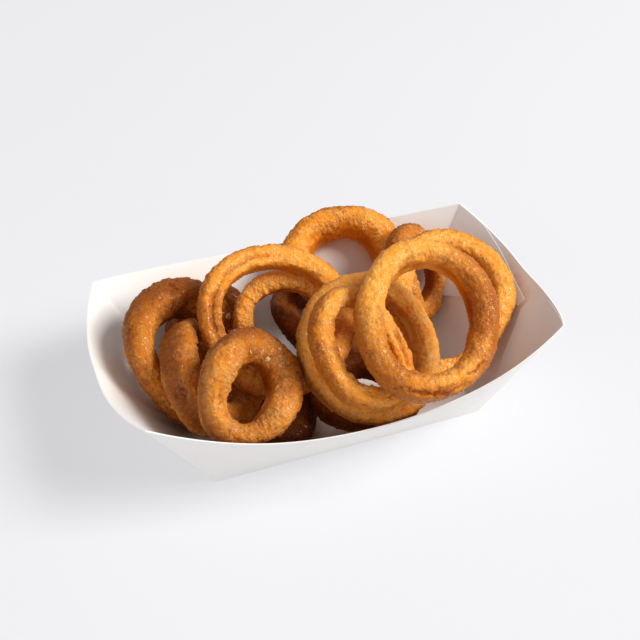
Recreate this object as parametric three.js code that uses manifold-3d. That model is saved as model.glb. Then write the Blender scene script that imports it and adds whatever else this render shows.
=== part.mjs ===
// A side of battered onion rings in a folded paper tray.
//
// Millimetres, +Z up. The origin is the middle of the tray's underside. +X runs along the tray and
// +Y points to its back wall. Every ring is one closed body, and each lies clear of the others and
// of the tray by a few tenths of a millimetre.

import * as THREE from 'three';
import { mergeVertices } from 'three/addons/utils/BufferGeometryUtils.js';
import Module from 'manifold-3d';

const wasm = await Module();
wasm.setup();

const object = new THREE.Group();

// ------------------------------------------------------------------ tray sizes
const BASE_HALF_LENGTH = 67.4; // the flat base, between its end folds
const BASE_HALF_WIDTH = 39.9; // and between its side folds
const CORNER_FLARE_X = 31.6; // how far each top corner leans out past the base
const CORNER_FLARE_Y = 14.8;
const CORNER_HEIGHT = 57.5;
const SIDE_BULGE = 18.3; // the long rims bow out in the middle
const SIDE_DIP = 14.6; // and hang below the corners
const END_BULGE = 11.4;
const END_DIP = 9.4;
const BULGE_POWER = 2.5;
const DIP_POWER = 1.95;
const BOARD = 0.7; // thickness of the paper board
const SIDE_STEPS = 24;
const END_STEPS = 16;

// ------------------------------------------------------------------ glued flaps of the right end
const FLAP = 0.5; // thickness that stands proud of the wall
const FLAP_ROOT = 0.2; // how far a flap reaches into the wall that it is glued to
const FLAP_TOP = 0.985; // share of the wall's height where a flap stops below the rim
const BACK_FLAP_END = -0.25; // places along the wall, which runs from -1 to 1
const FRONT_FLAP_END = -0.31;

// ------------------------------------------------------------------ ring sizes that all share
const ROUND_STEPS = 42; // facets round a ring that shows
const SECTION_STEPS = 10; // facets round its tube
const DEEP_ROUND_STEPS = 32; // a ring at the bottom of the heap has fewer
const DEEP_SECTION_STEPS = 8;
const SQUARENESS = 2.6; // 2 is an ellipse, more is a squarer tube
const WANDER_RADIAL = 0.6; // the ring's middle line wanders this far in and out
const WANDER_AXIAL = 0.5; // and up and down
const UNEVEN_THICK = [0.06, 0.045]; // how much the tube swells, in long and in short waves
const UNEVEN_WIDE = [0.06, 0.04];
const CRAG_DEPTH = 0.45; // the deepest dent in the crust

// ------------------------------------------------------------------ colours and finish
const BOARD_WHITE = 0xf1f0ee;
const BOARD_ROUGHNESS = 0.85;
const CRUST = { golden: 0xc07c33, amber: 0xb0692a, brown: 0x9a5a26 };
const CRUST_ROUGHNESS = 0.6;

const SAME_POINT = 1e-4; // corners closer than this are one

// ------------------------------------------------------------------ shared helpers
function solidFrom(points, faces) {
  return new wasm.Manifold(new wasm.Mesh({
    numProp: 3,
    vertProperties: new Float32Array(points.flat()),
    triVerts: new Uint32Array(faces.flat()),
  }));
}

function geometryFrom(solid) {
  const mesh = solid.getMesh();
  const geometry = new THREE.BufferGeometry();
  geometry.setAttribute('position', new THREE.BufferAttribute(mesh.vertProperties, 3));
  geometry.setIndex(new THREE.BufferAttribute(mesh.triVerts, 1));
  return mergeVertices(geometry, SAME_POINT);
}

function addPiece(name, geometry, color, roughness) {
  const material = new THREE.MeshStandardMaterial({ color, roughness, metalness: 0 });
  const mesh = new THREE.Mesh(geometry, material);
  mesh.name = name;
  object.add(mesh);
}

// ------------------------------------------------------------------ the paper tray
// A wall is straight from its fold at the base to its curved rim. Along it runs s, from -1 at one
// corner to 1 at the other, and up it runs k, from 0 at the fold to 1 at the rim.
const bulge = (s) => 1 - Math.abs(s) ** BULGE_POWER;
const dip = (s) => 1 - Math.abs(s) ** DIP_POWER;

// The back wall; the front one is its mirror image.
function sideWall(s, k) {
  const flare = CORNER_FLARE_Y + SIDE_BULGE * bulge(s);
  return [
    (BASE_HALF_LENGTH + CORNER_FLARE_X * k) * s,
    BASE_HALF_WIDTH + flare * k,
    (CORNER_HEIGHT - SIDE_DIP * dip(s)) * k,
  ];
}

// The right-hand wall; the left one is its mirror image.
function endWall(s, k) {
  const flare = CORNER_FLARE_X + END_BULGE * bulge(s);
  return [
    BASE_HALF_LENGTH + flare * k,
    (BASE_HALF_WIDTH + CORNER_FLARE_Y * k) * s,
    (CORNER_HEIGHT - END_DIP * dip(s)) * k,
  ];
}

// How far a skin that lies depth inside the wall is moved in, measured level.
function levelDepth(wall, s, depth) {
  const [x0, y0] = wall(s, 0);
  const [x1, y1, z1] = wall(s, 1);
  const lean = (wall === endWall ? x1 - x0 : y1 - y0) / z1;
  return depth * Math.hypot(1, lean);
}

function insideSide(s, k, depth) {
  const [x, y, z] = sideWall(s, k);
  return [x - levelDepth(endWall, 1, depth) * s, y - levelDepth(sideWall, s, depth), z];
}

function insideEnd(s, k, depth) {
  const [x, y, z] = endWall(s, k);
  return [x - levelDepth(endWall, s, depth), y - levelDepth(sideWall, 1, depth) * s, z];
}

// One loop round the tray, anticlockwise from the front left corner, at share k of the height or
// at the level z, and depth inside the outer skin.
function trayLoop(depth, { k, level }) {
  const loop = [];
  const share = (wall, s) => (level === undefined ? k : level / wall(s, 1)[2]);
  for (let i = 0; i < SIDE_STEPS; i++) {
    const s = -1 + (2 * i) / SIDE_STEPS;
    const [x, y, z] = insideSide(s, share(sideWall, s), depth);
    loop.push([x, -y, z]);
  }
  for (let i = 0; i < END_STEPS; i++) {
    const s = -1 + (2 * i) / END_STEPS;
    loop.push(insideEnd(s, share(endWall, s), depth));
  }
  const half = loop.length;
  for (let i = 0; i < half; i++) {
    const [x, y, z] = loop[i];
    loop.push([-x, -y, z]);
  }
  return loop;
}

// Outer skin, rim, inner skin and both faces of the base, as one closed body.
function trayShell() {
  const loops = [
    trayLoop(0, { k: 0 }),
    trayLoop(0, { k: 1 }),
    trayLoop(BOARD, { k: 1 }),
    trayLoop(BOARD, { level: BOARD }),
  ];
  const round = loops[0].length;
  const points = loops.flat();
  const faces = [];
  for (let row = 0; row < loops.length - 1; row++) {
    for (let i = 0; i < round; i++) {
      const next = (i + 1) % round;
      const [a, b] = [row * round + i, row * round + next];
      const [c, d] = [a + round, b + round];
      faces.push([a, b, d], [a, d, c]);
    }
  }
  const under = points.push([0, 0, 0]) - 1;
  const floor = points.push([0, 0, BOARD]) - 1;
  const last = (loops.length - 1) * round;
  for (let i = 0; i < round; i++) {
    const next = (i + 1) % round;
    faces.push([under, next, i], [floor, last + i, last + next]);
  }
  return solidFrom(points, faces);
}

// A flap is a strip along the end wall, from s = from to s = to, between the heights low(s) and
// high(s). It starts inside the board of the side wall that it is folded from.
function flap(from, to, low, high) {
  const steps = Math.round(Math.abs(to - from) * END_STEPS);
  const [outer, inner] = [BOARD - FLAP_ROOT, BOARD + FLAP];
  const intoCorner = levelDepth(sideWall, 1, BOARD / 2);
  const at = (s, k, depth) => {
    const [x, y, z] = endWall(s, k);
    return [x - levelDepth(endWall, s, depth), y - intoCorner * s, z];
  };
  const points = [];
  for (let i = 0; i <= steps; i++) {
    const s = from + ((to - from) * i) / steps;
    points.push(at(s, low(s), outer), at(s, high(s), outer));
    points.push(at(s, high(s), inner), at(s, low(s), inner));
  }
  const faces = [[0, 1, 2], [0, 2, 3]];
  for (let i = 0; i < steps; i++) {
    for (let j = 0; j < 4; j++) {
      const [a, b] = [4 * i + j, 4 * i + ((j + 1) % 4)];
      faces.push([a, a + 4, b + 4], [a, b + 4, b]);
    }
  }
  const end = 4 * steps;
  faces.push([end, end + 2, end + 1], [end, end + 3, end + 2]);
  return solidFrom(points, to < from ? faces.map(([a, b, c]) => [a, c, b]) : faces);
}

// A height that goes straight from one stop to the next. A stop is a place s and a share k there.
function slope(...stops) {
  return (s) => {
    const next = Math.max(1, stops.findIndex(([at]) => at >= s));
    const [[s0, k0], [s1, k1]] = [stops[next - 1], stops[next]];
    return k0 + ((k1 - k0) * (s - s0)) / (s1 - s0);
  };
}

// The back flap is a long tongue and the front one a shorter one. Their blunt ends nearly meet.
function paperTray() {
  const backLow = slope([-0.3, 0.8], [1, 0.2]);
  const backHigh = slope([-0.3, 0.84], [0.7, FLAP_TOP], [1, FLAP_TOP]);
  const frontLow = slope([-1, 0.16], [-0.64, 0.45], [-0.29, 0.8]);
  const frontHigh = slope([-1, FLAP_TOP], [-0.53, 0.965], [-0.29, 0.84]);
  const backFlap = flap(1, BACK_FLAP_END, backLow, backHigh);
  const frontFlap = flap(-1, FRONT_FLAP_END, frontLow, frontHigh);
  return geometryFrom(trayShell().add(backFlap).add(frontFlap));
}

addPiece('tray', paperTray(), BOARD_WHITE, BOARD_ROUGHNESS);

// ------------------------------------------------------------------ the onion rings
// A repeatable run of numbers from 0 to 1, one run for each seed.
function drawsFrom(seed) {
  const prime = 2147483647;
  let value = seed * 7919 + 13;
  const draw = () => {
    value = (value * 16807) % prime;
    return value / prime;
  };
  for (let warmUp = 0; warmUp < 3; warmUp++) draw();
  return draw;
}

const rad = THREE.MathUtils.degToRad;
const signedPower = (v, power) => Math.sign(v) * Math.abs(v) ** power;

// One ring. centre is its middle. facing is where its axis points: a compass angle from +X and an
// angle above the level. across is its outer diameter. thick is the tube's size across the ring
// and wide its size along the axis. oval presses the round out of true and warp bends it out of
// its plane, each by an amount towards an angle. lean turns the tube's section outwards. heavy
// makes the tube thicker on one side, by a share towards an angle.
function onionRing({ centre, facing, across, thick, wide, oval, warp, lean, heavy, seed, deep }) {
  const draw = drawsFrom(seed);
  const [f0, f1, f2, f3, f4] = Array.from({ length: 5 }, () => 2 * Math.PI * draw());
  const [azimuth, height] = facing.map(rad);
  const axis = new THREE.Vector3(
    Math.cos(height) * Math.cos(azimuth),
    Math.cos(height) * Math.sin(azimuth),
    Math.sin(height),
  );
  const across0 = new THREE.Vector3(0, 0, 1).cross(axis).normalize();
  const across90 = new THREE.Vector3().crossVectors(axis, across0);
  const [middle, half, span] = [(across - thick) / 2, thick / 2, wide / 2];
  const round = deep ? DEEP_ROUND_STEPS : ROUND_STEPS;
  const sides = deep ? DEEP_SECTION_STEPS : SECTION_STEPS;
  const [cosLean, sinLean] = [Math.cos(rad(lean)), Math.sin(rad(lean))];
  const points = [];
  const faces = [];
  for (let i = 0; i < round; i++) {
    const t = (2 * Math.PI * i) / round;
    const radius = middle + oval[0] * Math.cos(2 * (t - rad(oval[1])))
      + WANDER_RADIAL * Math.sin(3 * t + f0);
    const lift = warp[0] * Math.cos(2 * (t - rad(warp[1]))) + WANDER_AXIAL * Math.sin(3 * t + f1);
    const thickness = 1 + heavy[0] * Math.cos(t - rad(heavy[1]))
      + UNEVEN_THICK[0] * Math.sin(2 * t + f2) + UNEVEN_THICK[1] * Math.sin(5 * t + f3);
    const width = 1 + UNEVEN_WIDE[0] * Math.sin(3 * t + f4)
      + UNEVEN_WIDE[1] * Math.sin(4 * t + f0 + f1);
    for (let j = 0; j < sides; j++) {
      const p = (2 * Math.PI * j) / sides;
      const dent = 1 - (CRAG_DEPTH * draw() ** 2) / half;
      const out = dent * thickness * half * signedPower(Math.cos(p), 2 / SQUARENESS);
      const along = dent * width * span * signedPower(Math.sin(p), 2 / SQUARENESS);
      const reach = radius + out * cosLean + along * sinLean;
      const point = new THREE.Vector3(...centre)
        .addScaledVector(across0, reach * Math.cos(t))
        .addScaledVector(across90, reach * Math.sin(t))
        .addScaledVector(axis, lift - out * sinLean + along * cosLean);
      points.push(point.toArray());
      const [a, b] = [i * sides + j, i * sides + ((j + 1) % sides)];
      const turn = ((i + 1) % round) * sides - i * sides;
      faces.push([a, a + turn, b + turn], [a, b + turn, b]);
    }
  }
  return geometryFrom(solidFrom(points, faces));
}

function addRing(name, crust, ring) {
  const shape = onionRing({ heavy: [0, 0], deep: false, ...ring });
  addPiece(name, shape, CRUST[crust], CRUST_ROUGHNESS);
}

// Left end: two rings stand close together and lean on the end wall.
addRing('ring_far_left', 'amber', {
  centre: [-67, 11.5, 35.5],
  facing: [-45, 32],
  across: 69.5,
  thick: 15,
  wide: 21,
  oval: [0.2, 45],
  warp: [3.4, 5],
  lean: 38,
  heavy: [0.22, 30],
  seed: 1,
});
addRing('ring_left', 'amber', {
  centre: [-61.5, -12, 40],
  facing: [-19, 43],
  across: 56.5,
  thick: 13.5,
  wide: 18,
  oval: [1.2, 20],
  warp: [3, 95],
  lean: 0,
  seed: 2,
});

// Top of the heap, left: a large ring with a smaller one nested under it.
addRing('ring_top_left', 'golden', {
  centre: [-23.5, -2, 56.5],
  facing: [-84, 58],
  across: 76.5,
  thick: 12,
  wide: 11,
  oval: [0.8, 30],
  warp: [2.6, 140],
  lean: 8,
  seed: 3,
});
addRing('ring_nested', 'golden', {
  centre: [-15.5, 9.5, 42],
  facing: [-98, 52],
  across: 53,
  thick: 10,
  wide: 12.5,
  oval: [0.4, 50],
  warp: [1, 80],
  lean: -2,
  seed: 4,
});

// Front left: a small thick ring, wide like a band, with a deep hole.
addRing('ring_front_left', 'amber', {
  centre: [-50.5, -41.5, 54.5],
  facing: [-72, 44],
  across: 50.5,
  thick: 14.5,
  wide: 18,
  oval: [2, 40],
  warp: [5, 120],
  lean: -2,
  heavy: [0.26, 25],
  seed: 5,
});

// Middle: two rings, one lying in front of the other.
addRing('ring_centre_back', 'golden', {
  centre: [11, -33, 52],
  facing: [-78, 52],
  across: 70.5,
  thick: 11,
  wide: 13.5,
  oval: [0.4, 75],
  warp: [3.8, 80],
  lean: 8,
  seed: 6,
});
addRing('ring_centre_front', 'golden', {
  centre: [2, -43.5, 64],
  facing: [-54, 50],
  across: 54.5,
  thick: 10.5,
  wide: 10.5,
  oval: [2.2, 70],
  warp: [2.6, 85],
  lean: -4,
  seed: 7,
});

// Front right: the topmost ring, over the front rim, and the one behind it.
addRing('ring_front_right', 'golden', {
  centre: [29.5, -50, 77],
  facing: [-91, 59],
  across: 70,
  thick: 12.5,
  wide: 17,
  oval: [3, 65],
  warp: [0.2, 75],
  lean: 6,
  seed: 8,
});
addRing('ring_right', 'golden', {
  centre: [64.5, -3, 43.5],
  facing: [-80, 55],
  across: 74,
  thick: 12,
  wide: 11,
  oval: [4.8, 45],
  warp: [5, 155],
  lean: -2,
  seed: 9,
});

// Back: a broad ring that hangs over the back rim, and one that stands beside it.
addRing('ring_top_back', 'golden', {
  centre: [28.5, 47, 43],
  facing: [-80, 62],
  across: 61.5,
  thick: 14.5,
  wide: 19,
  oval: [2.4, 175],
  warp: [3.4, 40],
  lean: 36,
  seed: 10,
});
addRing('ring_back_right', 'amber', {
  centre: [63, 30, 37.5],
  facing: [-43, 28],
  across: 50,
  thick: 12.5,
  wide: 11,
  oval: [1.6, 60],
  warp: [1.4, 170],
  lean: 10,
  seed: 11,
});

// Bottom of the heap: three rings that lie nearly flat and carry the others, and one that stands
// at the back wall.
addRing('ring_low_middle', 'brown', {
  centre: [12, -26.5, 19],
  facing: [16, 86],
  across: 52,
  thick: 13,
  wide: 13.5,
  oval: [1, 65],
  warp: [1.4, 5],
  lean: 2,
  seed: 12,
});
addRing('ring_low_left', 'brown', {
  centre: [-30, -15.5, 8.5],
  facing: [-111, 90],
  across: 44,
  thick: 12.5,
  wide: 12,
  oval: [1.6, 85],
  warp: [1, 40],
  lean: 0,
  seed: 13,
  deep: true,
});
addRing('ring_deep_back', 'brown', {
  centre: [8.5, 27.5, 22],
  facing: [-21, 70],
  across: 51.5,
  thick: 13,
  wide: 13.5,
  oval: [2, 55],
  warp: [1, 90],
  lean: 2,
  seed: 14,
  deep: true,
});
addRing('ring_deep_left', 'brown', {
  centre: [-45.5, 41, 23.5],
  facing: [-84, 32],
  across: 47,
  thick: 15.5,
  wide: 14,
  oval: [0.2, 15],
  warp: [0.4, 90],
  lean: -12,
  seed: 15,
  deep: true,
});

export default object;
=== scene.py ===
import math

import bmesh
import bpy
import numpy as np
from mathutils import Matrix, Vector, bvhtree, kdtree, noise


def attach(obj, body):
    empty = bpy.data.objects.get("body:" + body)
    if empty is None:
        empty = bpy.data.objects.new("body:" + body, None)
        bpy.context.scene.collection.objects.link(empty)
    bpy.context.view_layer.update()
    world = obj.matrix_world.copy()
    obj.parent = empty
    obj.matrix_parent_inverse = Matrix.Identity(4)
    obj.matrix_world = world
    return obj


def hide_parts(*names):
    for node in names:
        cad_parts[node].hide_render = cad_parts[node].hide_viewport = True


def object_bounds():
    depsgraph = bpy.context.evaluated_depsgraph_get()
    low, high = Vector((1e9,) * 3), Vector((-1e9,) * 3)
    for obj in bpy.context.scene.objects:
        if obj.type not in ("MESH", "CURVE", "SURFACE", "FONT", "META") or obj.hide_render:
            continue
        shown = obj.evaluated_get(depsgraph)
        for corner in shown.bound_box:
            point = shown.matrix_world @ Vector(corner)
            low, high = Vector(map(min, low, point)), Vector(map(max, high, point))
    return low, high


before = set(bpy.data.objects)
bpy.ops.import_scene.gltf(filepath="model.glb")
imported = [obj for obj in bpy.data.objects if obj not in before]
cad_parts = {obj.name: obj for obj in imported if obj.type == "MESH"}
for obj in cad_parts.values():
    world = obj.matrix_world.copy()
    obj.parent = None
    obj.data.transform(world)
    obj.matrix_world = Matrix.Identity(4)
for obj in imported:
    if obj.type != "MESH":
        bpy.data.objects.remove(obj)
solids_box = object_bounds()
MM = 0.001

# ---------------------------------------------------------------- the paper tray
# A food tray folded from one sheet of white paper board, creased at the base and glued at the ends.
# Its walls lean out and bow between the corners, so the rims curve. Near the food the board is darker
# and warmer: partly a greasy stain, partly painted shade tinted by the rings' warm bounce light.
# Lengths are in millimetres, marks from 0 to 1.
BASE_HALF_LENGTH = 67.4
BASE_HALF_WIDTH = 39.9
CORNER_FLARE_X = 31.6
CORNER_FLARE_Y = 14.8
CORNER_HEIGHT = 57.5
SIDE_BULGE, SIDE_DIP = 18.3, 14.6
END_BULGE, END_DIP = 11.4, 9.4
BULGE_POWER, DIP_POWER = 2.5, 1.95
BOARD = 0.55
BOARD_BUCKLE, BUCKLE_TURN = 0.5, 1.7
CREASE_ANGLE = 25
WALL_ROWS = 17
SIDE_STEPS, END_STEPS = 96, 64
FLOOR_SHARES = (0.9, 0.7, 0.45, 0.2)
FLOOR_RISE = 0.25
FLAP_SUNK, FLAP_PROUD = 0.1, 0.18
BOARD_WHITE = (0.86, 0.845, 0.82, 1)
BOARD_WARM = (0.84, 0.81, 0.77, 1)
# Board colours near the food: a greasy stain mixed with painted shade, warmed as by the rings' bounce
# light.
BOARD_STAINED_AND_SHADED = (0.88, 0.68, 0.54, 1)
BOARD_SOAKED_AND_SHADED = (0.5, 0.34, 0.22, 1)
STAIN_AND_SHADE_REACH = 24


class Socket:
    """An output socket of a finish. Arithmetic on it adds Math nodes."""

    def __init__(self, finish, output):
        self.finish = finish
        self.output = output

    def maths(self, operation, first, second):
        return self.finish.node("ShaderNodeMath", {"operation": operation}, {0: first, 1: second})

    def __add__(self, other):
        return self.maths("ADD", self, other)

    def __sub__(self, other):
        return self.maths("SUBTRACT", self, other)

    def __rsub__(self, other):
        return self.maths("SUBTRACT", other, self)

    def __mul__(self, other):
        return self.maths("MULTIPLY", self, other)

    __radd__ = __add__
    __rmul__ = __mul__


class Finish:
    """One procedural material, with a Principled shader for its surface."""

    def __init__(self, name):
        self.material = bpy.data.materials.new(name)
        self.material.use_nodes = True
        self.tree = self.material.node_tree
        self.shader = self.tree.nodes["Principled BSDF"]

    def node(self, kind, settings=None, inputs=None, output=0):
        made = self.tree.nodes.new(kind)
        for name, value in (settings or {}).items():
            setattr(made, name, value)
        for name, value in (inputs or {}).items():
            self.feed(made.inputs[name], value)
        return Socket(self, made.outputs[output])

    def feed(self, socket, value):
        if isinstance(value, Socket):
            self.tree.links.new(value.output, socket)
        else:
            socket.default_value = value

    def surface(self, **inputs):
        for name, value in inputs.items():
            self.feed(self.shader.inputs[name.replace("_", " ")], value)

    def place(self):
        return self.node("ShaderNodeTexCoord", output="Object")

    def cloud(self, size, detail=2.0, roughness=0.5):
        """Noise from 0 to 1 whose lumps are about size metres apart."""
        inputs = {"Vector": self.place(), "Scale": 1 / size, "Detail": detail, "Roughness": roughness}
        return self.node("ShaderNodeTexNoise", inputs=inputs, output="Fac")

    def grains(self, size):
        """Rounded grains about size metres across: 1 at the middle of each, near 0 where they meet."""
        inputs = {"Vector": self.place(), "Scale": 1 / size, "Randomness": 1.0}
        return 1 - self.node("ShaderNodeTexVoronoi", {"feature": "F1"}, inputs, output="Distance") * 1.3

    def ramp(self, value, low, high):
        """0 below low, 1 above high, smooth between."""
        inputs = {"Value": value, "From Min": low, "From Max": high}
        return self.node("ShaderNodeMapRange", {"interpolation_type": "SMOOTHSTEP"}, inputs)

    def blend(self, share, first, second):
        inputs = {0: share, 6: first, 7: second}
        return self.node("ShaderNodeMix", {"data_type": "RGBA"}, inputs, output=2)

    def bump(self, height, depth, under=None):
        inputs = {"Height": height, "Distance": depth, "Strength": 1.0}
        if under:
            inputs["Normal"] = under
        return self.node("ShaderNodeBump", inputs=inputs)

    def mark(self, name):
        """A value that the mesh carries at each point."""
        return self.node("ShaderNodeAttribute", {"attribute_name": name}, output="Fac")


def put(name, data):
    """An object in the scene that shows a mesh, a lamp or a camera."""
    made = bpy.data.objects.new(name, data)
    bpy.context.scene.collection.objects.link(made)
    return made


def tree_of(points):
    """The points, kept so that the ones near a place are found fast."""
    tree = kdtree.KDTree(len(points))
    for i, point in enumerate(points):
        tree.insert(point, i)
    tree.balance()
    return tree


def board_piece(name, points, faces, finish, marks=None):
    """One piece of the board, in millimetres, that stands for the tray's node."""
    mesh = bpy.data.meshes.new(name)
    mesh.from_pydata([tuple(p) for p in points * MM], [], faces)
    for mark, values in (marks or {}).items():
        mesh.attributes.new(mark, "FLOAT", "POINT").data.foreach_set("value", values)
    mesh.validate()
    mesh.shade_smooth()
    mesh.set_sharp_from_angle(angle=math.radians(CREASE_ANGLE))
    mesh.materials.append(finish.material)
    piece = put(name, mesh)
    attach(piece, "root")
    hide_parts("tray")


def side_wall(s, k):
    """The back wall, from s = -1 to 1 along it and k = 0 to 1 up it. The front one mirrors it."""
    flare = CORNER_FLARE_Y + SIDE_BULGE * (1 - np.abs(s) ** BULGE_POWER)
    rim = CORNER_HEIGHT - SIDE_DIP * (1 - np.abs(s) ** DIP_POWER)
    return np.stack([(BASE_HALF_LENGTH + CORNER_FLARE_X * k) * s, BASE_HALF_WIDTH + flare * k, rim * k], -1)


def end_wall(s, k):
    """The right end wall. The left one mirrors it."""
    flare = CORNER_FLARE_X + END_BULGE * (1 - np.abs(s) ** BULGE_POWER)
    rim = CORNER_HEIGHT - END_DIP * (1 - np.abs(s) ** DIP_POWER)
    return np.stack([BASE_HALF_LENGTH + flare * k, (BASE_HALF_WIDTH + CORNER_FLARE_Y * k) * s, rim * k], -1)


def level_depth(wall, s, depth):
    """A depth into a leaning wall, measured level."""
    foot, rim = wall(s, s * 0), wall(s, s * 0 + 1)
    out = 1 if wall is side_wall else 0
    return depth * np.hypot(1, (rim - foot)[..., out] / rim[..., 2])


def buckle(s, k, phase):
    """The slow waves of thin board between its creases. They only go inwards."""
    wave = 0.5 + 0.25 * np.sin(5.1 * s + phase) + 0.25 * np.sin(9.7 * s - 2.3 * k + 2 * phase)
    return BOARD_BUCKLE * wave * k * (1 - s ** 2)


def inside(wall, s, k, depth, phase):
    """A point of a wall's skin that lies depth in from its outer skin."""
    corner = np.ones_like(s)
    inset = level_depth(wall, s, depth) + buckle(s, k, phase)
    point = wall(s, k)
    if wall is side_wall:
        point[..., 0] -= level_depth(end_wall, corner, depth) * s
        point[..., 1] -= inset
    else:
        point[..., 0] -= inset
        point[..., 1] -= level_depth(side_wall, corner, depth) * s
    return point


def tray_loop(depth, share, foot=0.0):
    """One loop round the tray. share is how far up each wall it lies, above the level foot."""
    parts = []
    for turn in range(4):
        wall, steps = (side_wall, SIDE_STEPS) if turn % 2 == 0 else (end_wall, END_STEPS)
        s = -1 + 2 * np.arange(steps) / steps
        low = foot / wall(s, s * 0 + 1)[:, 2]
        k = low + (1 - low) * share
        part = inside(wall, s, k, depth, phase=BUCKLE_TURN * turn)
        if turn >= 2:
            part = part * [-1, -1, 1]
        if wall is side_wall:
            part = part * [1, -1, 1]
        parts.append(part)
    return np.concatenate(parts)


def board_finish():
    finish = Finish("white_paper_board")
    fibre = finish.cloud(0.4 * MM, detail=3)
    blotch = finish.cloud(18 * MM)
    warmth = finish.ramp(blotch, 0.35, 0.75) * 0.5
    relief = finish.bump(fibre, 0.02 * MM)
    relief = finish.bump(finish.cloud(6 * MM, detail=3), 0.12 * MM, under=relief)
    clean = finish.blend(warmth, BOARD_WHITE, BOARD_WARM)
    # Darker and warmer near the rings: partly a greasy stain, partly painted shade.
    grease_and_shade = finish.mark("near_food")
    stained_and_shaded = finish.blend(finish.ramp(grease_and_shade + blotch * 0.3, 0.45, 1.3), clean, BOARD_STAINED_AND_SHADED)
    soaked_and_shaded = finish.blend(finish.ramp(grease_and_shade + blotch * 0.2, 0.78, 1.08), stained_and_shaded, BOARD_SOAKED_AND_SHADED)
    finish.surface(
        Base_Color=soaked_and_shaded,
        Roughness=fibre * 0.2 + 0.62,
        Normal=relief,
    )
    return finish


board = board_finish()


def faces_between(loops):
    """Quads between loops of equal length that follow each other."""
    faces = []
    length = len(loops[0])
    for first in range(0, (len(loops) - 1) * length, length):
        for i in range(length):
            a, b = first + i, first + (i + 1) % length
            faces.append((a, b, b + length, a + length))
    return faces


def near_food(points, first):
    """How close each point from the first on lies to a ring: 1 touching, 0 a stain-and-shade reach away."""
    rings = [solid for name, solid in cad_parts.items() if name != "tray"]
    tree = tree_of([vertex.co for solid in rings for vertex in solid.data.vertices])
    marks = np.zeros(len(points))
    for i in range(first, len(points)):
        marks[i] = max(0, 1 - tree.find(points[i] * MM)[2] / (STAIN_AND_SHADE_REACH * MM))
    return marks


rises = np.linspace(0, 1, WALL_ROWS)
outer_skin = [tray_loop(0, k) for k in rises]
lip = tray_loop(BOARD / 2, 1)
inner_skin = [tray_loop(BOARD, k, foot=BOARD) for k in rises[::-1]]
floor = []
for share in FLOOR_SHARES:
    floor_loop = inner_skin[-1] * [share, share, 1]
    floor_loop[:, 2] += FLOOR_RISE * (1 - share)
    floor.append(floor_loop)
shell = outer_skin + [lip] + inner_skin + floor
faces = faces_between(shell)
points = np.concatenate(shell + [[[0, 0, BOARD + FLOOR_RISE]], [[0, 0, 0]]])
above, under = len(points) - 2, len(points) - 1
last = above - len(lip)
for i in range(len(lip)):
    j = (i + 1) % len(lip)
    faces.append((above, last + i, last + j))
    faces.append((under, j, i))
grease_and_shade_marks = near_food(points[:under], (len(outer_skin) + 1) * len(lip))
board_piece("tray_shell", points, faces, board, {"near_food": np.append(grease_and_shade_marks, 0)})


def glued_flap(name, start, end, low, high, steps=40):
    """Board glued flat on the inside of the right end wall, from s = start to end, low(s) to high(s)."""
    s = np.linspace(start, end, steps)
    sunk, proud = BOARD - FLAP_SUNK, BOARD + FLAP_PROUD
    edges = [(low(s), sunk), (high(s), sunk), (high(s), proud), (low(s), proud)]
    grid = np.stack([inside(end_wall, s, k, depth, phase=BUCKLE_TURN) for k, depth in edges], 1)
    strip = []
    for i in range(steps - 1):
        for j in range(4):
            a, b = 4 * i + j, 4 * i + (j + 1) % 4
            strip.append((a, a + 4, b + 4, b))
    strip += [(0, 1, 2, 3), (4 * steps - 1, 4 * steps - 2, 4 * steps - 3, 4 * steps - 4)]
    if end < start:
        strip = [face[::-1] for face in strip]
    board_piece(name, grid.reshape(-1, 3), strip, board)


def stops(*pairs):
    """A height that changes evenly from one (place, height) to the next."""
    places, heights = zip(*sorted(pairs))
    return lambda s: np.interp(s, places, heights)


glued_flap("tray_back_flap", 0.999, -0.25, low=stops((-0.3, 0.8), (1, 0.2)),
           high=stops((-0.3, 0.84), (0.7, 0.998), (1, 0.998)))
glued_flap("tray_front_flap", -0.999, -0.31, low=stops((-1, 0.16), (-0.64, 0.45), (-0.29, 0.8)),
           high=stops((-1, 0.998), (-0.53, 0.985), (-0.29, 0.84)))

# ---------------------------------------------------------------- the onion rings
# Rings of onion in a thick batter, deep fried, that lie as they fell. The crust is rough with crumbs
# and brown at its outside, smoother and a deeper, darker orange towards the hole, and a little oily.
# Shade is painted into its colour too: the darker orange of the inner walls is partly painted shade,
# and painted shade browns the hollows, the parts of rings that lie in shade, and the rings deep in the
# heap. Lengths are in millimetres, places round the tube in degrees: 0 outside, 90 upper face, 180 the
# hole.
CRUST = {
    "golden": {"crumb": (0.94, 0.53, 0.15, 1), "crest": (0.86, 0.305, 0.028, 1),
               "wall": (0.66, 0.175, 0.005, 1), "brown": (0.27, 0.05, 0.001, 1)},
    "amber": {"crumb": (0.74, 0.4, 0.125, 1), "crest": (0.6, 0.185, 0.016, 1),
              "wall": (0.38, 0.085, 0.003, 1), "brown": (0.17, 0.029, 0.001, 1)},
    # The brown tone is a darker copy of the crust for rings that lie deep in the heap: painted shade.
    "brown": {"crumb": (0.42, 0.16, 0.035, 1), "crest": (0.28, 0.065, 0.006, 1),
              "wall": (0.19, 0.036, 0.001, 1), "brown": (0.08, 0.014, 0.001, 1)},
}
PALE_BATTER = (1.0, 0.5, 0.1, 1)
SWELL, CRAG, CRUMB = 0.55, 0.48, 0.6
SWELL_SIZE, CRAG_SIZE = 10, 3.2
RIM, RIM_AT, RIM_REACH, RIM_WANDER = 0.6, 128, 34, 14
DISH, DISH_REACH = 0.55, 44
SMOOTH_SHARE, SMOOTH_REACH = 0.75, 100
CRUMB_SPACING = 1.1
CRUMB_SMALL, CRUMB_LARGE = 0.6, 1.2
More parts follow.
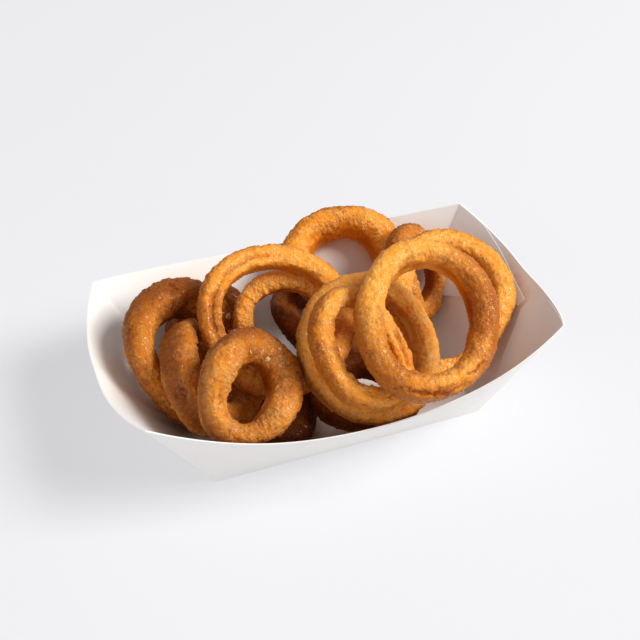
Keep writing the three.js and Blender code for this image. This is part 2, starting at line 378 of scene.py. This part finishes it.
USUAL_RING_RADIUS, USUAL_TUBE_RADIUS = 30, 6
FOLD_WANDER = {"swell": 22, "crag": 10}
# The whole crust is lifted by FILL. Its hollow mark goes from 1 to 0 over HOLLOW_SPAN of height, and
# where it is high the shader paints shade into the crust's colour.
FILL = 0.1
HOLLOW_SPAN = 1.6
# Bands round the tube that take colour: the place where each is strongest, and its reach.
BANDS = {"inward": (185, 80), "outside": (0, 95), "edge": (120, 40)}
# Out of a ring's two faces, the one that looks most this way is its upper face.
UPWARD = (-0.2, -0.6, 0.8)


def crust_finish(name, tones):
    finish = Finish(name)
    inward, outside, edge = [finish.mark(band) for band in BANDS]
    crumb, hollow, pale, toast_and_shade = [finish.mark(mark) for mark in ("crumb", "hollow", "pale", "toast_and_shade")]
    blotch = finish.cloud(9 * MM, detail=2)
    mottle = finish.cloud(3 * MM, detail=3, roughness=0.6)
    fine = finish.cloud(0.7 * MM, detail=2)
    patch = finish.cloud(5 * MM, detail=4, roughness=0.65)
    coarse = finish.ramp(patch + mottle * 0.4 - inward * 0.3 + edge * 0.1 + toast_and_shade * 0.1, 0.5, 0.85)
    grain = finish.grains(1.0 * MM) * coarse + fine * 0.4
    # Towards the hole the crust takes the darker wall colour: partly the batter's own colour, partly
    # painted shade on the inner walls.
    bare = finish.ramp(inward + blotch * 0.5 + mottle * 0.3 - crumb * 0.25, 0.45, 1.25)
    batter = finish.blend(bare, tones["crest"], tones["wall"])
    yellow = (pale - toast_and_shade * 0.8) * finish.ramp(blotch + mottle * 0.4, 0.45, 0.95)
    batter = finish.blend(yellow, batter, PALE_BATTER)
    crumbed = finish.ramp(grain * 0.7 + coarse * 0.3 + crumb * 0.35, 0.5, 1.05)
    batter = finish.blend(crumbed * (0.6 - toast_and_shade * 0.2), batter, tones["crumb"])
    # Browning from frying at the outside and edges, plus the toast parts, which are painted shade.
    heat_and_shade = outside * 0.75 + edge * 0.3 + toast_and_shade * 0.8 + mottle * 0.7 + blotch * 0.7 - inward * 0.1
    toasted_and_shaded = finish.ramp(heat_and_shade, 0.75, 1.65)
    speck = finish.ramp(finish.cloud(1.1 * MM, detail=2), 0.56, 0.7) * coarse
    # Painted shade: darker brown deep in the crust's hollows.
    deep = finish.ramp(hollow, 0.55, 1.0)
    browned_and_shaded = finish.blend(toasted_and_shaded * 0.76 + speck * 0.25 + deep * 0.45, batter, tones["brown"])
    relief = finish.bump(grain, 0.28 * MM)
    relief = finish.bump(patch, 0.7 * MM, under=relief)
    oil = finish.ramp(finish.cloud(1.1 * MM, detail=3), 0.47, 0.62)
    finish.surface(
        Base_Color=browned_and_shaded,
        Roughness=0.62 - oil * 0.25,
        Specular_IOR_Level=0.08,
        Coat_Weight=oil * 0.5,
        Coat_Roughness=0.17,
        Subsurface_Weight=0.2,
        Subsurface_Scale=1.2 * MM,
        Subsurface_Radius=(1.0, 0.35, 0.08),
        Normal=relief,
    )
    return finish


crusts = {tone: crust_finish("fried_crust_" + tone, tones) for tone, tones in CRUST.items()}


def smooth_form(solid, rounds):
    """The solid's own mesh, as quads, rounded by subdivision."""
    form = bmesh.new()
    form.from_mesh(solid.data)
    bmesh.ops.remove_doubles(form, verts=form.verts, dist=0.01 * MM)
    bmesh.ops.join_triangles(
        form, faces=form.faces,
        angle_face_threshold=math.radians(60), angle_shape_threshold=math.radians(70),
    )
    mesh = bpy.data.meshes.new(solid.name + "_form")
    form.to_mesh(mesh)
    form.free()
    holder = put(mesh.name, mesh)
    rounding = holder.modifiers.new("rounding", "SUBSURF")
    rounding.levels = rounding.render_levels = rounds
    depsgraph = bpy.context.evaluated_depsgraph_get()
    rounded = bpy.data.meshes.new_from_object(holder.evaluated_get(depsgraph))
    bpy.data.objects.remove(holder)
    return rounded


def around_ring(points, sectors=60):
    """Where each point of a ring lies, in degrees: round the hole (0 right, 90 up or back, 180 left)
    and round the tube."""
    spread = points - points.mean(0)
    axis = np.linalg.svd(spread, full_matrices=False)[2][2]
    if axis @ UPWARD < 0:
        axis = -axis
    right = np.array([1, 0, 0]) - axis[0] * axis
    right /= np.linalg.norm(right)
    up = np.cross(axis, right)
    height = spread @ axis
    radius = np.hypot(spread @ right, spread @ up)
    turn = np.degrees(np.arctan2(spread @ up, spread @ right)) % 360
    sector = (turn / 360 * sectors).astype(int) % sectors
    middles = []
    for values in (radius, height):
        centre = [(values[sector == i].min() + values[sector == i].max()) / 2 for i in range(sectors)]
        places = (np.arange(-1, sectors + 1) + 0.5) * 360 / sectors
        middles.append(np.interp(turn, places, centre[-1:] + centre + centre[:1]))
    tube = np.degrees(np.arctan2(height - middles[1], radius - middles[0])) % 360
    return turn, tube


def apart(first, second):
    """How many degrees lie between two directions."""
    return np.abs((first - second + 180) % 360 - 180)


def fade(distance, reach):
    """1 at no distance, 0 at reach and beyond, smooth between."""
    share = np.clip(1 - distance / reach, 0, 1)
    return share * share * (3 - 2 * share)


def fold(turn, tube, start, end, at, width, depth, wander):
    """A groove in the batter that runs from start to end round the hole, at one side of the tube.
    It is a ridge where its depth is below 0."""
    middle, half = (start + end) / 2, (end - start) / 2
    along = fade(np.clip(apart(turn, middle) - half * 0.5, 0, None), half * 0.5)
    return -depth * along * fade(apart(tube, at + wander), width)


def crumbs_on(points, rough, draw):
    """How much of a crumb stands at each point: 1 at the top of a high one, 0 between crumbs."""
    crumb = np.zeros(len(points))
    tree = tree_of(points)
    surface = 4 * math.pi ** 2 * USUAL_RING_RADIUS * USUAL_TUBE_RADIUS
    for i in draw.integers(0, len(points), int(surface / CRUMB_SPACING ** 2)):
        size = draw.uniform(CRUMB_SMALL, CRUMB_LARGE) * MM * (0.6 + 0.4 * rough[i])
        height = draw.uniform(0.3, 1.0)
        for _, j, distance in tree.find_range(points[i], size):
            crumb[j] = max(crumb[j], height * (1 - (distance / size) ** 2))
    return crumb


def crust_relief(points, turn, tube, folds, seed):
    """How far the crust stands out at each point, and how much of a crumb it is there."""
    draw = np.random.default_rng(seed)
    shift = Vector(draw.uniform(-1, 1, 3))
    rough = 1 - SMOOTH_SHARE * fade(apart(tube, 180), SMOOTH_REACH)
    swell, crag = np.empty(len(points)), np.empty(len(points))
    for i, p in enumerate(points):
        place = Vector(p)
        swell[i] = noise.noise(place * (1 / (SWELL_SIZE * MM)) + shift)
        crag[i] = noise.fractal(place * (1 / (CRAG_SIZE * MM)) + shift, 0.8, 2.1, 3)
    rim = fade(apart(tube, RIM_AT + RIM_WANDER * swell), RIM_REACH)
    dish = fade(apart(tube, 180), DISH_REACH)
    lift = SWELL * swell + CRAG * crag * rough + RIM * rim * (0.8 + 1.1 * crag) - DISH * dish
    wander = FOLD_WANDER["swell"] * swell + FOLD_WANDER["crag"] * crag
    for start, end, at, width, depth in folds:
        lift += fold(turn, tube, start, end, at, width, depth * (1 + 0.8 * crag), wander)
    crumb = crumbs_on(points, rough, draw)
    return lift + CRUMB * crumb * rough, crumb


def ring(name, tone, seed, folds=(), pale=0.0, toast_and_shade=(), rounds=3):
    """One fried ring on its solid. Each fold is (start, end, place round the tube, width, depth), and
    each darkened part is (middle, reach, share), round the hole: painted shade where the ring lies in
    shade."""
    mesh = smooth_form(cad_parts[name], rounds)
    mesh.name = name + "_crust"
    count = len(mesh.vertices)
    points, normals = np.empty(count * 3), np.empty(count * 3)
    mesh.vertices.foreach_get("co", points)
    mesh.vertex_normals.foreach_get("vector", normals)
    points, normals = points.reshape(-1, 3), normals.reshape(-1, 3)
    turn, tube = around_ring(points)
    lift, crumb = crust_relief(points, turn, tube, folds, seed)
    points = points + normals * (lift + FILL)[:, None] * MM
    points = np.clip(points, solids_box[0], solids_box[1])
    mesh.vertices.foreach_set("co", points.ravel())
    marks = {band: fade(apart(tube, at), reach) for band, (at, reach) in BANDS.items()}
    marks["crumb"] = crumb
    marks["hollow"] = np.clip(0.5 - lift / HOLLOW_SPAN, 0, 1)
    marks["pale"] = np.full(count, pale)
    marks["toast_and_shade"] = np.zeros(count)
    for at, reach, share in toast_and_shade:
        marks["toast_and_shade"] += share * fade(apart(turn, at), reach)
    for mark, values in marks.items():
        mesh.attributes.new(mark, "FLOAT", "POINT").data.foreach_set("value", values)
    mesh.update()
    mesh.shade_smooth()
    mesh.materials.clear()
    mesh.materials.append(crusts[tone].material)
    piece = put(name + "_crust", mesh)
    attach(piece, "root")
    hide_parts(name)


# The toast parts below darken the crust where each ring lies in the heap's shade: painted shade.
ring("ring_far_left", "amber", 1, toast_and_shade=[(70, 100, 1.1)])
ring("ring_left", "amber", 2, toast_and_shade=[(90, 180, 0.6)])
ring("ring_top_left", "golden", 3, folds=[(50, 215, 95, 36, 1.2)], pale=0.25, toast_and_shade=[(190, 80, 0.5)])
ring("ring_nested", "golden", 4, pale=0.4, toast_and_shade=[(200, 60, 0.3)])
ring("ring_front_left", "amber", 5, folds=[(165, 235, 110, 16, 0.7)], pale=0.4,
     toast_and_shade=[(80, 60, 0.5), (250, 60, 0.3), (0, 70, 0.6)])
# Its high pale share makes the whole ring paler, set so to paint light on its inner wall, which lies in
# shade.
ring("ring_centre_back", "golden", 6, pale=0.9, toast_and_shade=[(250, 80, 0.2)])
ring("ring_centre_front", "golden", 7, folds=[(-45, 25, 100, 34, 1.6)], pale=0.3, toast_and_shade=[(180, 90, 0.4)])
ring("ring_front_right", "golden", 8, folds=[(220, 315, 62, 22, 1.1), (140, 250, 92, 18, -0.6)],
     pale=0.7, toast_and_shade=[(-10, 100, 1.1), (215, 80, 0.7)])
ring("ring_right", "golden", 9, pale=0.45)
ring("ring_top_back", "golden", 10, toast_and_shade=[(90, 90, 0.3)])
ring("ring_back_right", "amber", 11)
# The low and deep rings take the brown tone: painted shade for where they lie under the heap.
ring("ring_low_middle", "brown", 12)
ring("ring_low_left", "brown", 13, toast_and_shade=[(0, 360, 0.7)])
ring("ring_deep_back", "brown", 14, rounds=2)
ring("ring_deep_left", "brown", 15, toast_and_shade=[(0, 360, 0.4)], rounds=2)

# ---------------------------------------------------------------- loose crumbs
# A few crumbs of batter that came off and stuck where they fell, on the rings. They are 1 to 3 mm
# across, uneven, pale and dry. Each is (ring it lies on, spot, size in millimetres), with the spot
# as the camera sees it, in pixels across and down a square picture.
LOOSE_CRUMBS = [
    ("ring_right", (413, 287), 1.8), ("ring_far_left", (228, 317), 2.8),
    ("ring_far_left", (229, 331), 1.6), ("ring_front_left", (268, 359), 2.1),
    ("ring_front_left", (250, 352), 1.4), ("ring_top_left", (354, 331), 1.7),
    ("ring_centre_front", (308, 335), 1.6), ("ring_front_right", (384, 352), 1.2),
]
CRUMB_PROUD = 0.3
CRUMB_DARK, CRUMB_PALE = (0.7, 0.33, 0.09, 1), (0.92, 0.6, 0.27, 1)
# The camera looks down on the tray from its front left. The sensor and lens are in millimetres.
PICTURE = 640
SENSOR, LENS = 36, 62.01
TURN, TILT, DISTANCE = math.radians(-20.4), math.radians(39.216), 0.5747
LOOKED_AT = Vector((0.01103, 0.03386, 0.018))

away = Vector((math.sin(TURN) * math.cos(TILT), -math.cos(TURN) * math.cos(TILT), math.sin(TILT)))
eye = LOOKED_AT + away * DISTANCE
facing = away.to_track_quat("Z", "Y")


def surface_of(piece):
    """The faces of a piece, kept so that rays and near places are found fast."""
    points = [vertex.co for vertex in piece.data.vertices]
    return bvhtree.BVHTree.FromPolygons(points, [tuple(face.vertices) for face in piece.data.polygons])


def place_on(ring_name, spot):
    """A place just proud of a ring's crust, nearest to where the camera sees its solid at the spot."""
    across, down = [(at / PICTURE - 0.5) * SENSOR / LENS for at in spot]
    sight = facing @ Vector((across, -down, -1))
    seen = surface_of(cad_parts[ring_name]).ray_cast(eye, sight)[0]
    place, outward = surface_of(bpy.data.objects[ring_name + "_crust"]).find_nearest(seen)[:2]
    return place + outward * CRUMB_PROUD * MM


crumb_finish = Finish("loose_crumb")
crumb_finish.surface(
    Base_Color=crumb_finish.blend(crumb_finish.cloud(0.9 * MM), CRUMB_DARK, CRUMB_PALE),
    Roughness=0.7,
    Specular_IOR_Level=0.1,
)
draw = np.random.default_rng(21)
lumps = bmesh.new()
for ring_name, spot, size in LOOSE_CRUMBS:
    place = place_on(ring_name, spot)
    stretch, shift = Vector(draw.uniform(0.5, 1.3, 3)), Vector(draw.uniform(-1, 1, 3))
    for v in bmesh.ops.create_icosphere(lumps, subdivisions=3, radius=0.5)["verts"]:
        lump = 1 + 0.9 * noise.fractal(v.co * 3 + shift, 0.7, 2.0, 3)
        v.co = v.co * stretch * lump * size * MM + place
mesh = bpy.data.meshes.new("loose_crumbs")
lumps.to_mesh(mesh)
lumps.free()
mesh.shade_smooth()
mesh.materials.append(crumb_finish.material)
loose = put("loose_crumbs", mesh)
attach(loose, "root")

# ---------------------------------------------------------------- floor, lights and camera
# A plain pale table top, a broad soft key light from the right, weak fills from the front and left,
# and a soft white room. The camera stands at the eye. Lengths are in metres, powers in watts.
TABLE_HALF, TABLE_DROP = 4, 0.0002
STUDIO_WHITE = (0.975, 0.975, 1.0, 1)

table = bpy.data.meshes.new("table_top")
sides = [(-1, -1), (1, -1), (1, 1), (-1, 1)]
table.from_pydata([(TABLE_HALF * x, TABLE_HALF * y, -TABLE_DROP) for x, y in sides], [], [(0, 1, 2, 3)])
table_top = put("table_top", table)
paint = Finish("pale_table")
paint.surface(
    Base_Color=paint.blend(paint.cloud(0.3), (0.37, 0.37, 0.385, 1), (0.38, 0.38, 0.395, 1)),
    Roughness=0.9,
    Specular_IOR_Level=0.1,
    Emission_Color=STUDIO_WHITE,
    Emission_Strength=0.45,
)
table.materials.append(paint.material)


def soft_light(name, place, size, power, colour=(1, 1, 1)):
    """A square lamp that points where the camera looks."""
    lamp = bpy.data.lights.new(name, "AREA")
    lamp.size = size
    lamp.energy = power
    lamp.color = colour
    stand = put(name, lamp)
    stand.location = place
    stand.rotation_euler = (LOOKED_AT - Vector(place)).to_track_quat("-Z", "Y").to_euler()


soft_light("key_light", (2.19, -1.32, 2.39), 1.6, 132, (1.0, 0.985, 0.96))
soft_light("front_fill", (-0.9, -2.9, 0.4), 1.4, 4)
soft_light("left_fill", (-2.1, -0.8, 0.9), 1.6, 9, (1.0, 0.97, 0.94))

world = bpy.data.worlds.new("studio")
world.use_nodes = True
background = world.node_tree.nodes["Background"]
background.inputs["Color"].default_value = STUDIO_WHITE
background.inputs["Strength"].default_value = 0.46
bpy.context.scene.world = world
bpy.context.scene.view_settings.view_transform = "Standard"

camera = bpy.data.cameras.new("camera")
camera.sensor_fit = "HORIZONTAL"
camera.sensor_width = SENSOR
camera.lens = LENS
tripod = put("camera", camera)
tripod.location = eye
tripod.rotation_euler = facing.to_euler()
bpy.context.scene.camera = tripod
